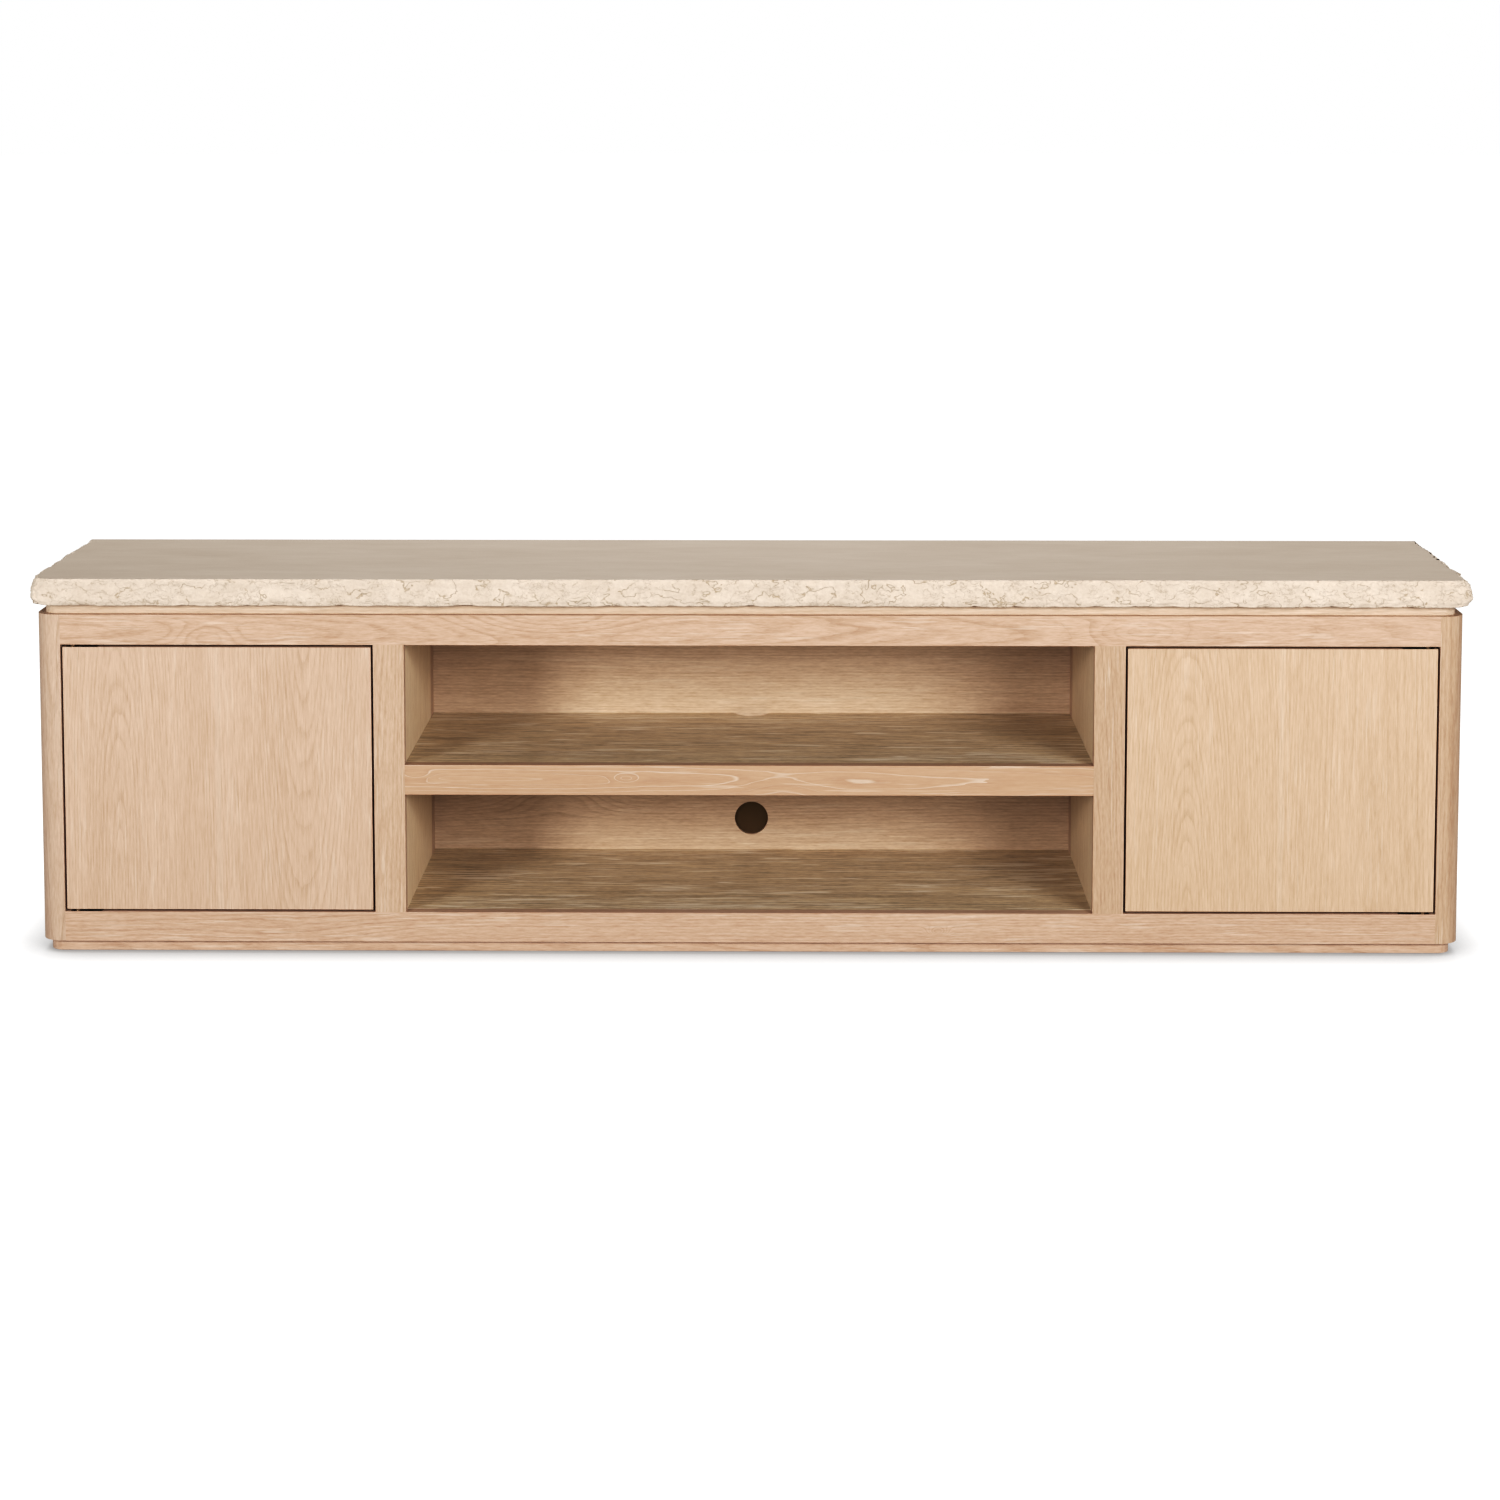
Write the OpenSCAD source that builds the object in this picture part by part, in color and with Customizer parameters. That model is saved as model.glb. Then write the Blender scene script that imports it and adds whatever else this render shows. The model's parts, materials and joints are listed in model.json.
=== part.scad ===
// A low, wide oak media cabinet with a rock-edged stone top, two push-to-open doors and an open centre bay.
// Millimetres. +X right, +Y to the back, +Z up. The origin is the middle of the floor area that it covers.
// Every sub-part is drawn from the face frame's front plane, and seated() then moves it to the origin.
// The right-hand pieces are the mirror images of the left-hand ones.

/* [Body] */
// Width of the oak body
body_w = 2268; // [2100:2:2400]
// Depth of the oak body
body_d = 446; // [420:1:520]
// Height of the oak body, without plinth and neck
body_h = 528; // [480:1:600]
// Width of the open centre bay
centre_w = 1096; // [900:2:1200]

/* [Face frame] */
// Width and depth of a corner post
post_w = 40; // [38:1:50]
// Radius of a front corner post's outer corner
post_radius = 34; // [20:1:36]
// Height of the top and bottom rails
rail_h = 48; // [44:1:56]
// Width of the upright between a door and the centre bay
stile_w = 49; // [44:1:56]
// Thickness of the rails and the front uprights
frame_t = 22; // [20:1:28]

/* [Top, neck and plinth] */
// Thickness of the stone slab
stone_t = 43; // [35:1:50]
// How far the stone stands out past the body at the front
stone_front = 11; // [5:1:20]
// How far the stone stands out past the body at each end
stone_side = 13; // [5:1:20]
// Height of the neck under the stone, with the bedding pads
neck_h = 15; // [10:1:25]
// Height of the plinth boards
plinth_h = 18; // [15:1:40]
// How far the neck and the plinth are set back
reveal = 12; // [8:1:16]
// Height of the floor glides
glide_h = 2; // [1:0.5:4]

/* [Doors] */
// Gap beside a door
side_gap = 3.5; // [3.5:0.5:5]
// Gap above and below a door
end_gap = 4; // [3:0.5:5]
// Thickness of a door
door_t = 20; // [18:1:20]

/* [Boards] */
// Thickness of the carcass boards
board_t = 18; // [16:1:22]
// Thickness of the end panels and the dividers
wall_t = 20; // [18:1:22]
// Thickness of the back panels
back_t = 8; // [6:1:10]
// Height of the fixed shelf in the centre bay
shelf_t = 48; // [40:1:60]
// Height of the fixed shelf's underside above the bay floor
shelf_lift = 191; // [150:1:220]
// Diameter of the cable hole, and of the half-round notch in the shelf
cable_hole_d = 57; // [40:1:80]
// Height of the cable hole's centre above the bay floor
cable_hole_lift = 55; // [45:1:80]

/* [Hidden] */
$fn = 64;

OAK_FRAME = [0.86, 0.71, 0.58];
OAK_DOOR = [0.87, 0.74, 0.62];
OAK_INSIDE = [0.72, 0.58, 0.44];
OAK_SOLID = [0.80, 0.65, 0.50];
PLY = [0.76, 0.62, 0.46];
BEECH = [0.84, 0.69, 0.50];
STONE = [0.90, 0.85, 0.78];
STEEL = [0.72, 0.72, 0.72];
BLACK = [0.09, 0.08, 0.07];
WHITE_PLASTIC = [0.86, 0.85, 0.82];
CLEAR_PAD = [0.80, 0.80, 0.78];

// Outline
over = 1;
front_y = (stone_front - body_d) / 2;
half_w = body_w / 2;
body_z0 = glide_h + plinth_h;
body_z1 = body_z0 + body_h;
stone_z0 = body_z1 + neck_h;
stone_z1 = stone_z0 + stone_t;
inner_radius = post_radius - reveal;

// Face frame
post_x = half_w - post_w;
bay_x = centre_w / 2;
stile_x = bay_x + stile_w;
opening_z0 = body_z0 + rail_h;
opening_z1 = body_z1 - rail_h;
opening_mid = (opening_z0 + opening_z1) / 2;

// Carcass
back_gap = 2;
back_y = body_d - back_t - back_gap;
wall_x = half_w - wall_t;
floor_z = opening_z0;
ceiling_z = body_z1 - board_t;
rear_stile_d = 45;
rear_stile_y = back_y - rear_stile_d;
rear_post_y = body_d - post_w;
shelf_z0 = floor_z + shelf_lift;
shelf_z1 = shelf_z0 + shelf_t;
skin_t = 12;
hole_z = floor_z + cable_hole_lift;
hole_r = cable_hole_d / 2;
seam_x = bay_x + stile_w / 2;

// Stone: the belly of the rock face stands furthest out at mid-height
end_top_inset = 12;
front_top_inset = 6;
bottom_inset = 6;
belly_low = 12;
belly_high = 29;

// Neck and plinth
neck_strip_w = 40;
pad_h = 1;
pad_r = 20;
pad_columns = 5;
neck_x = half_w - reveal;
neck_back_y = body_d - reveal;
plinth_strip_w = 60;
plinth_z = [glide_h, body_z0];
cross_x = bay_x + wall_t / 2;
glide_r = 15;
glide_inset = 42;
bearer_w = 32;
bearer_end_x = post_x - bearer_w / 2;

// Hinges: one pin above and one below each door, on one upright axis
pivot_in = 15;
pivot_x = -post_x + side_gap + pivot_in;
pivot_y = door_t / 2;
plate_t = 2.5;
plate_w = 14;
plate_tail = 10;
plate_reach = 40;
pin_r = 2.5;
pin_depth = 9;
running_gap = 0.05;
shoulder_r = 4.5;
shoulder_gap = 0.1;
boss_r = 4.5;
boss_h = 10;
plate_screw_x = [12, 32];

// Screws
screw_r = 1.6;
screw_head_r = 3.2;
screw_head_h = 1.5;
screw_l = 15;
back_screw_l = 20;

// Push latches, under blocks on the ceiling of each cupboard
latch_from_stile = 43;
latch_x = -stile_x - latch_from_stile;
latch_drop = 44;
latch_z = ceiling_z - latch_drop;
latch_w = 24;
latch_h = 16;
latch_d = 60;
latch_y = door_t + 5;
flange_w = 46;
flange_h = 3;
flange_z = latch_z + latch_h / 2 - flange_h;
flange_screw_x = 17.5;
plunger_r = 4;
plunger_l = 45;
strike_t = 1.5;
strike_r = 9;
strike_screw_l = 10;
tip_gap = 0.3;
block_w = 50;
block_margin = 2;
block_z0 = latch_z + latch_h / 2;

// Doors
door_x0 = -post_x + side_gap;
door_x1 = -stile_x - side_gap;
door_z0 = opening_z0 + end_gap;
door_z1 = opening_z1 - end_gap;

// Adjustable shelves
peg_r = 2.5;
peg_in = 10;
peg_out = 10;
peg_pitch = 32;
peg_lift = 204.5;
peg_z = floor_z + peg_lift;
peg_rows = [-2:2];
peg_inset = 45;
loose_gap = 1;
loose_y0 = 45;
loose_y1 = rear_stile_y - 3 * back_gap;
loose_z = peg_z + peg_r;
peg_columns = [loose_y0 + peg_inset, loose_y1 - peg_inset];

// Dowels and back screws
dowel_r = 4;
dowel_l = 40;
dowel_in_post = 18;
dowel_spread = 12;
dowel_y = frame_t / 2;
back_screw_rows = 4;
back_screw_columns = [0.15, 0.5, 0.85];
back_screw_inset = 9;
flap_t = 2;
flap_lap = 12;
flap_r = hole_r + flap_lap;

// ---- helpers ----

module seated(colour) {
    translate([0, front_y, 0]) color(colour) children();
}

module other_side() {
    mirror([1, 0, 0]) children();
}

module both_sides() {
    children();
    other_side() children();
}

module top_and_bottom() {
    children();
    translate([0, 0, 2 * opening_mid]) mirror([0, 0, 1]) children();
}

// A square-edged board between three pairs of limits.
module board(x, y, z) {
    translate([x[0], y[0], z[0]]) cube([x[1] - x[0], y[1] - y[0], z[1] - z[0]]);
}

module rod_x(x, y, z, r) {
    translate([x[0], y, z]) rotate([0, 90, 0]) cylinder(r = r, h = x[1] - x[0]);
}

module rod_y(x, y, z, r) {
    translate([x, y[1], z]) rotate([90, 0, 0]) cylinder(r = r, h = y[1] - y[0]);
}

module rod_z(x, y, z, r) {
    translate([x, y, z[0]]) cylinder(r = r, h = z[1] - z[0]);
}

// The head lies above the local XY plane and the shank runs down from it.
module screw(length) {
    cylinder(r = screw_head_r, h = screw_head_h);
    translate([0, 0, -length]) cylinder(r = screw_r, h = length);
}

// Plan of a flat board whose two front corners are round.
module round_front(x, y, radius) {
    intersection() {
        translate([-x, y[0]]) square([2 * x, y[1] - y[0]]);
        union() {
            translate([-x, y[0] + radius]) square([2 * x, y[1] - y[0] - radius]);
            translate([-x + radius, y[0]]) square([2 * (x - radius), radius]);
            for (side = [-1, 1]) translate([side * (x - radius), y[0] + radius]) circle(r = radius);
        }
    }
}

// ---- joints cut into the wood ----

// Dowels between the posts and the rails, between the rails and the front stiles, and into the shelf lipping.
module dowels() {
    half_l = dowel_l / 2;
    steps = [-dowel_spread, dowel_spread];
    both_sides() {
        for (z = [opening_z0 - rail_h / 2, opening_z1 + rail_h / 2], step = steps)
            rod_x([-post_x - dowel_in_post, -post_x - dowel_in_post + dowel_l], dowel_y, z + step, dowel_r);
        for (z = [opening_z0, opening_z1], step = steps)
            rod_z(-seam_x + step, dowel_y, [z - half_l, z + half_l], dowel_r);
        for (step = steps)
            rod_x([-bay_x - half_l, -bay_x + half_l], dowel_y, shelf_z0 + shelf_t / 2 + step, dowel_r);
    }
}

// Screws through the back panels into the posts, the rear stiles and the edges of the top and bottom panels.
module back_screws() {
    row_pitch = (opening_z1 - opening_z0) / back_screw_rows;
    rows = [for (i = [0:back_screw_rows - 1]) opening_z0 + (i + 0.5) * row_pitch];
    side_span = post_x - seam_x;
    uprights = [-seam_x - back_screw_inset, -seam_x + back_screw_inset];
    across = [for (t = back_screw_columns) -post_x + t * side_span];
    centre = [for (t = back_screw_columns) -seam_x + t * seam_x];
    board_edges = [ceiling_z + board_t / 2, floor_z - board_t / 2];
    both_sides() {
        for (x = uprights, z = rows) back_screw(x, z);
        for (x = concat(across, centre), z = board_edges) back_screw(x, z);
    }
}

module back_screw(x, z) {
    translate([x, back_y + back_t, z]) rotate([-90, 0, 0]) screw(back_screw_l);
}

// The rows of holes for the adjustable shelf's pins, in the end panel and in the divider.
module peg_holes() {
    for (y = peg_columns, row = peg_rows) {
        rod_x([-wall_x - peg_in, -wall_x + over], y, peg_z + row * peg_pitch, peg_r + running_gap);
        rod_x([-bay_x - wall_t - over, -bay_x - wall_t + peg_in], y, peg_z + row * peg_pitch,
              peg_r + running_gap);
    }
}

// The recess and the screws of a hinge plate in the bottom rail.
module frame_plate_blank() {
    board([pivot_x - plate_tail, pivot_x + plate_reach],
          [pivot_y - plate_w / 2, pivot_y + plate_w / 2], [opening_z0 - plate_t, opening_z0]);
}

module frame_plate_screws() {
    for (step = plate_screw_x)
        translate([pivot_x + step, pivot_y, opening_z0 - screw_head_h]) screw(screw_l);
}

// The plate and the socket let into a door's bottom edge, with their screws.
module door_plate_blank() {
    board([pivot_x - plate_tail, pivot_x + plate_reach],
          [pivot_y - plate_w / 2, pivot_y + plate_w / 2], [door_z0, door_z0 + plate_t]);
    rod_z(pivot_x, pivot_y, [door_z0, door_z0 + plate_t + boss_h], boss_r);
}

module door_plate_screws() {
    for (step = plate_screw_x)
        translate([pivot_x + step, pivot_y, door_z0 + screw_head_h]) rotate([180, 0, 0]) screw(screw_l);
}

module strike_screw() {
    translate([latch_x, door_t + strike_t - screw_head_h, latch_z]) rotate([-90, 0, 0]) screw(strike_screw_l);
}

module latch_screws() {
    for (side = [-1, 1])
        translate([latch_x + side * flange_screw_x, latch_y + latch_d / 2, flange_z])
            rotate([180, 0, 0]) screw(screw_l);
}

// ---- stone top and neck ----

// Half of the slab's outline, from the bottom edge round the belly to the top edge.
function rock_edge(far, top_inset) = [
    [far - bottom_inset, stone_z0],
    [far, stone_z0 + belly_low],
    [far, stone_z0 + belly_high],
    [far - top_inset, stone_z1]
];

module stone_top() {
    x = half_w + stone_side;
    end = rock_edge(x, end_top_inset);
    front = rock_edge(stone_front, front_top_inset);
    seated(STONE) intersection() {
        translate([0, body_d, 0]) rotate([90, 0, 0]) linear_extrude(body_d + stone_front)
            polygon(concat(end, [for (i = [3:-1:0]) [-end[i][0], end[i][1]]]));
        translate([-x - over, 0, 0]) rotate([90, 0, 90]) linear_extrude(2 * (x + over))
            polygon(concat([for (p = front) [-p[0], p[1]]], [[body_d, stone_z1], [body_d, stone_z0]]));
    }
}

module stone_bedding_pads() {
    rows = [reveal + neck_strip_w / 2, neck_back_y - neck_strip_w / 2];
    end_x = neck_x - neck_strip_w;
    seated(CLEAR_PAD) for (x = [-end_x:2 * end_x / (pad_columns - 1):end_x], y = rows)
        rod_z(x, y, [stone_z0 - pad_h, stone_z0], pad_r);
}

module neck_core_panel() {
    seated(PLY) board([-neck_x + neck_strip_w, neck_x - neck_strip_w],
                      [reveal + neck_strip_w, neck_back_y - neck_strip_w], [body_z1, stone_z0 - pad_h]);
}

module neck_edge_front() {
    seated(OAK_FRAME) translate([0, 0, body_z1]) linear_extrude(neck_h - pad_h)
        round_front(neck_x, [reveal, reveal + neck_strip_w], inner_radius);
}

module neck_edge_back() {
    seated(OAK_FRAME) board([-neck_x, neck_x],
                            [neck_back_y - neck_strip_w, neck_back_y], [body_z1, stone_z0 - pad_h]);
}

module neck_edge_left() {
    seated(OAK_FRAME) board([-neck_x, -neck_x + neck_strip_w],
                            [reveal + neck_strip_w, neck_back_y - neck_strip_w], [body_z1, stone_z0 - pad_h]);
}

module neck_edge_right() {
    other_side() neck_edge_left();
}

// ---- face frame ----

// A rail without its openings' hardware: it fills the height between z[0] and z[1].
module rail(z) {
    difference() {
        board([-post_x, post_x], [0, frame_t], z);
        dowels();
        both_sides() top_and_bottom() {
            frame_plate_blank();
            frame_plate_screws();
        }
    }
}

module top_rail() {
    seated(OAK_FRAME) rail([opening_z1, body_z1]);
}

module bottom_rail() {
    seated(OAK_FRAME) rail([body_z0, opening_z0]);
}

module corner_post_front_left() {
    seated(OAK_FRAME) difference() {
        translate([0, 0, body_z0]) linear_extrude(body_h) intersection() {
            round_front(half_w, [0, post_w], post_radius);
            translate([-half_w, 0]) square(post_w);
        }
        dowels();
    }
}

module corner_post_front_right() {
    other_side() corner_post_front_left();
}

module corner_post_back_left() {
    seated(OAK_SOLID) board([-half_w, -post_x], [rear_post_y, body_d], [body_z0, body_z1]);
}

module corner_post_back_right() {
    other_side() corner_post_back_left();
}

module front_stile_left() {
    seated(OAK_FRAME) difference() {
        board([-stile_x, -bay_x], [0, frame_t], [opening_z0, opening_z1]);
        dowels();
    }
}

module front_stile_right() {
    other_side() front_stile_left();
}

// ---- carcass ----

// A full-width board that is cut away round the four corner posts.
module carcass_board(z) {
    difference() {
        board([-wall_x, wall_x], [frame_t, back_y], z);
        both_sides() {
            board([-half_w, -post_x], [0, post_w], [z[0] - over, z[1] + over]);
            board([-half_w, -post_x], [rear_post_y, body_d], [z[0] - over, z[1] + over]);
        }
        back_screws();
    }
}

module carcass_top_panel() {
    seated(OAK_INSIDE) carcass_board([ceiling_z, body_z1]);
}

module carcass_bottom_panel() {
    seated(OAK_INSIDE) carcass_board([floor_z - board_t, floor_z]);
}

module end_panel_left() {
    seated(OAK_DOOR) difference() {
        board([-half_w, -wall_x], [post_w, rear_post_y], [body_z0, body_z1]);
        peg_holes();
    }
}

module end_panel_right() {
    other_side() end_panel_left();
}

module divider_left() {
    seated(OAK_INSIDE) difference() {
        board([-bay_x - wall_t, -bay_x], [frame_t, rear_stile_y], [floor_z, ceiling_z]);
        peg_holes();
    }
}

module divider_right() {
    other_side() divider_left();
}

module rear_stile_left() {
    seated(OAK_SOLID) difference() {
        board([-stile_x, -bay_x], [rear_stile_y, back_y], [floor_z, ceiling_z]);
        back_screws();
    }
}

module rear_stile_right() {
    other_side() rear_stile_left();
}

// ---- back ----

module back_panel(x) {
    difference() {
        board(x, [back_y, back_y + back_t], [body_z0, body_z1]);
        back_screws();
    }
}

module back_panel_centre() {
    seated(OAK_INSIDE) difference() {
        back_panel([-seam_x, seam_x]);
        rod_y(0, [back_y - over, back_y + back_t + over], hole_z, hole_r);
    }
}

module back_panel_left() {
    seated(OAK_INSIDE) back_panel([-post_x, -seam_x]);
}

module back_panel_right() {
    other_side() back_panel_left();
}

// A limp rubber sheet over the outside of the cable hole, which cables push aside.
module cable_hole_flap() {
    seated(BLACK) board([-flap_r, flap_r], [back_y + back_t, back_y + back_t + flap_t],
                        [hole_z - flap_r, hole_z + flap_r]);
}

module back_panel_screws() {
    seated(STEEL) back_screws();
}

// ---- fixed shelf of the centre bay ----

module middle_shelf_lipping() {
    seated(OAK_FRAME) difference() {
        board([-bay_x, bay_x], [0, frame_t], [shelf_z0, shelf_z1]);
        dowels();
    }
}

// The cable notch is half of the same round hole.
module notched(z) {
    difference() {
        children();
        rod_z(0, back_y, [z[0] - over, z[1] + over], hole_r);
    }
}

module shelf_skin(z) {
    notched(z) board([-bay_x, bay_x], [frame_t, back_y], z);
}

module middle_shelf_top_board() {
    seated(OAK_INSIDE) shelf_skin([shelf_z1 - skin_t, shelf_z1]);
}

module middle_shelf_bottom_board() {
    seated(OAK_INSIDE) shelf_skin([shelf_z0, shelf_z0 + skin_t]);
}

// Battens between the two skins, and a solid block where the cable notch is cut.
module middle_shelf_core() {
    batten_w = 30;
    block_x = 70;
    core_z = [shelf_z0 + skin_t, shelf_z1 - skin_t];
    rib_y = [frame_t + batten_w, back_y - 2 * batten_w];
    seated(PLY) {
        board([-bay_x, bay_x], [frame_t, frame_t + batten_w], core_z);
        for (x = [-bay_x, -bay_x / 3, bay_x / 3 - batten_w, bay_x - batten_w])
            board([x, x + batten_w], rib_y, core_z);
        both_sides() board([-bay_x, -block_x], [rib_y[1], back_y], core_z);
        notched(core_z) board([-block_x, block_x], [rib_y[1], back_y], core_z);
    }
}

// ---- plinth ----

module plinth_front() {
    seated(OAK_FRAME) translate([0, 0, glide_h]) linear_extrude(plinth_h)
        round_front(neck_x, [reveal, reveal + plinth_strip_w], inner_radius);
}

module plinth_back() {
    seated(OAK_SOLID) board([-neck_x, neck_x], [neck_back_y - plinth_strip_w, neck_back_y], plinth_z);
}

module plinth_left() {
    seated(OAK_SOLID) board([-neck_x, -neck_x + plinth_strip_w],
                            [reveal + plinth_strip_w, neck_back_y - plinth_strip_w], plinth_z);
}

module plinth_right() {
    other_side() plinth_left();
}

module plinth_cross_rails() {
    seated(PLY) for (x = [-cross_x, 0, cross_x])
        board([x - plinth_strip_w / 2, x + plinth_strip_w / 2],
              [reveal + plinth_strip_w, neck_back_y - plinth_strip_w], plinth_z);
}

// Battens that carry the bottom panel, behind the bottom rail.
module floor_bearers() {
    seated(PLY) for (x = [-bearer_end_x, -cross_x, 0, cross_x, bearer_end_x])
        board([x - bearer_w / 2, x + bearer_w / 2], [post_w, rear_post_y], [body_z0, floor_z - board_t]);
}

module floor_glides() {
    seated(BLACK) for (x = [-neck_x + glide_inset, -cross_x, 0, cross_x, neck_x - glide_inset],
                       y = [reveal + plinth_strip_w / 2, neck_back_y - plinth_strip_w / 2])
        rod_z(x, y, [0, glide_h], glide_r);
}

// ---- cupboards ----

module adjustable_shelf_left() {
    seated(OAK_INSIDE) board([-wall_x + loose_gap, -bay_x - wall_t - loose_gap],
                             [loose_y0, loose_y1], [loose_z, loose_z + board_t]);
}

module adjustable_shelf_right() {
    other_side() adjustable_shelf_left();
}

module shelf_pins() {
    seated(STEEL) both_sides() for (y = peg_columns) {
        rod_x([-wall_x - peg_in, -wall_x + peg_out], y, peg_z, peg_r);
        rod_x([-bay_x - wall_t - peg_out, -bay_x - wall_t + peg_in], y, peg_z, peg_r);
    }
}

module frame_dowels() {
    seated(BEECH) dowels();
}

// The screws of the frame's hinge plates and of the latch housings.
module fitting_screws() {
    seated(STEEL) both_sides() {
        top_and_bottom() frame_plate_screws();
        latch_screws();
    }
}

// A plate with the pivot pin and the shoulder that the door turns on.
module hinge_frame_plates_left() {
    seated(STEEL) top_and_bottom() difference() {
        union() {
            frame_plate_blank();
            rod_z(pivot_x, pivot_y, [opening_z0 - plate_t, door_z0 - shoulder_gap], shoulder_r);
            rod_z(pivot_x, pivot_y, [opening_z0 - plate_t, door_z0 + pin_depth], pin_r);
        }
        frame_plate_screws();
    }
}

module hinge_frame_plates_right() {
    other_side() hinge_frame_plates_left();
}

// ---- push latches ----

module latch_blocks() {
    seated(BEECH) both_sides() difference() {
        board([latch_x - block_w / 2, latch_x + block_w / 2],
              [latch_y - block_margin, latch_y + latch_d + block_margin], [block_z0, ceiling_z]);
        latch_screws();
    }
}

module latch_housing_left() {
    seated(WHITE_PLASTIC) difference() {
        union() {
            board([latch_x - latch_w / 2, latch_x + latch_w / 2],
                  [latch_y, latch_y + latch_d], [latch_z - latch_h / 2, block_z0]);
            board([latch_x - flange_w / 2, latch_x + flange_w / 2],
                  [latch_y, latch_y + latch_d], [flange_z, block_z0]);
        }
        rod_y(latch_x, [latch_y - over, latch_y + plunger_l + over], latch_z, plunger_r + running_gap);
        latch_screws();
    }
}

module latch_housing_right() {
    other_side() latch_housing_left();
}

module latch_plunger_left() {
    tip_y = door_t + strike_t + tip_gap;
    seated(BLACK) rod_y(latch_x, [tip_y, tip_y + plunger_l], latch_z, plunger_r);
}

module latch_plunger_right() {
    other_side() latch_plunger_left();
}

// ---- doors ----

module door_panel_left() {
    seated(OAK_DOOR) difference() {
        board([door_x0, door_x1], [0, door_t], [door_z0, door_z1]);
        top_and_bottom() {
            door_plate_blank();
            door_plate_screws();
        }
        strike_screw();
    }
}

module door_panel_right() {
    other_side() door_panel_left();
}

module hinge_door_plates_left() {
    seated(STEEL) top_and_bottom() difference() {
        door_plate_blank();
        rod_z(pivot_x, pivot_y, [door_z0 - over, door_z0 + plate_t + boss_h + over], pin_r + running_gap);
        door_plate_screws();
    }
}

module hinge_door_plates_right() {
    other_side() hinge_door_plates_left();
}

module strike_plate_left() {
    seated(STEEL) difference() {
        rod_y(latch_x, [door_t, door_t + strike_t], latch_z, strike_r);
        strike_screw();
    }
}

module strike_plate_right() {
    other_side() strike_plate_left();
}

module door_screws_left() {
    seated(STEEL) {
        top_and_bottom() door_plate_screws();
        strike_screw();
    }
}

module door_screws_right() {
    other_side() door_screws_left();
}

stone_top();
stone_bedding_pads();
neck_core_panel();
neck_edge_front();
neck_edge_back();
neck_edge_left();
neck_edge_right();
carcass_top_panel();
carcass_bottom_panel();
top_rail();
bottom_rail();
corner_post_front_left();
corner_post_front_right();
corner_post_back_left();
corner_post_back_right();
front_stile_left();
front_stile_right();
rear_stile_left();
rear_stile_right();
end_panel_left();
end_panel_right();
divider_left();
divider_right();
middle_shelf_lipping();
middle_shelf_top_board();
middle_shelf_bottom_board();
middle_shelf_core();
back_panel_centre();
back_panel_left();
back_panel_right();
cable_hole_flap();
plinth_front();
plinth_back();
plinth_left();
plinth_right();
plinth_cross_rails();
floor_bearers();
floor_glides();
adjustable_shelf_left();
adjustable_shelf_right();
shelf_pins();
frame_dowels();
back_panel_screws();
fitting_screws();
hinge_frame_plates_left();
hinge_frame_plates_right();
latch_blocks();
latch_housing_left();
latch_housing_right();
latch_plunger_left();
latch_plunger_right();
door_panel_left();
door_panel_right();
hinge_door_plates_left();
hinge_door_plates_right();
strike_plate_left();
strike_plate_right();
door_screws_left();
door_screws_right();
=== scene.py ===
"""The looks of the media cabinet: limed oak boards, a rock-edged stone top, fittings, lights and camera.

Everything is in metres in the cabinet's own frame: +X to the right, +Y to the back, +Z up.
"""

import json
import math

import bmesh
import bpy
import numpy as np
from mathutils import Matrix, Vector


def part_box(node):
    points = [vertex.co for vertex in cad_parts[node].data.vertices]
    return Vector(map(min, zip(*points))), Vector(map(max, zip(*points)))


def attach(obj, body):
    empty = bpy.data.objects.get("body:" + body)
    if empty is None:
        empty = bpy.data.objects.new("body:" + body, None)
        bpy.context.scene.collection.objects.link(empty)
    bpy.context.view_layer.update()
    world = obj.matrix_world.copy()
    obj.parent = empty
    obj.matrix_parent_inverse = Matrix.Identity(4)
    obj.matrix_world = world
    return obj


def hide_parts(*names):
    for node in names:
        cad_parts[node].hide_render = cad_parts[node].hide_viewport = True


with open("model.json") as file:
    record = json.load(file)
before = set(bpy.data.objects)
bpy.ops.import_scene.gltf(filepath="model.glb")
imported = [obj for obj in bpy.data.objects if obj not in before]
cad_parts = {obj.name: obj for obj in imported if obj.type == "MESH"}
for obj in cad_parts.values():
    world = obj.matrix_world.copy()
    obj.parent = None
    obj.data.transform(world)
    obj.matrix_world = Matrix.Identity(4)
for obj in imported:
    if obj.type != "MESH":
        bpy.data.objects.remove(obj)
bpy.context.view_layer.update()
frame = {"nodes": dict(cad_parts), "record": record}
NODES = frame["nodes"]
MM = 0.001

# ---- shader building ----


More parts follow.
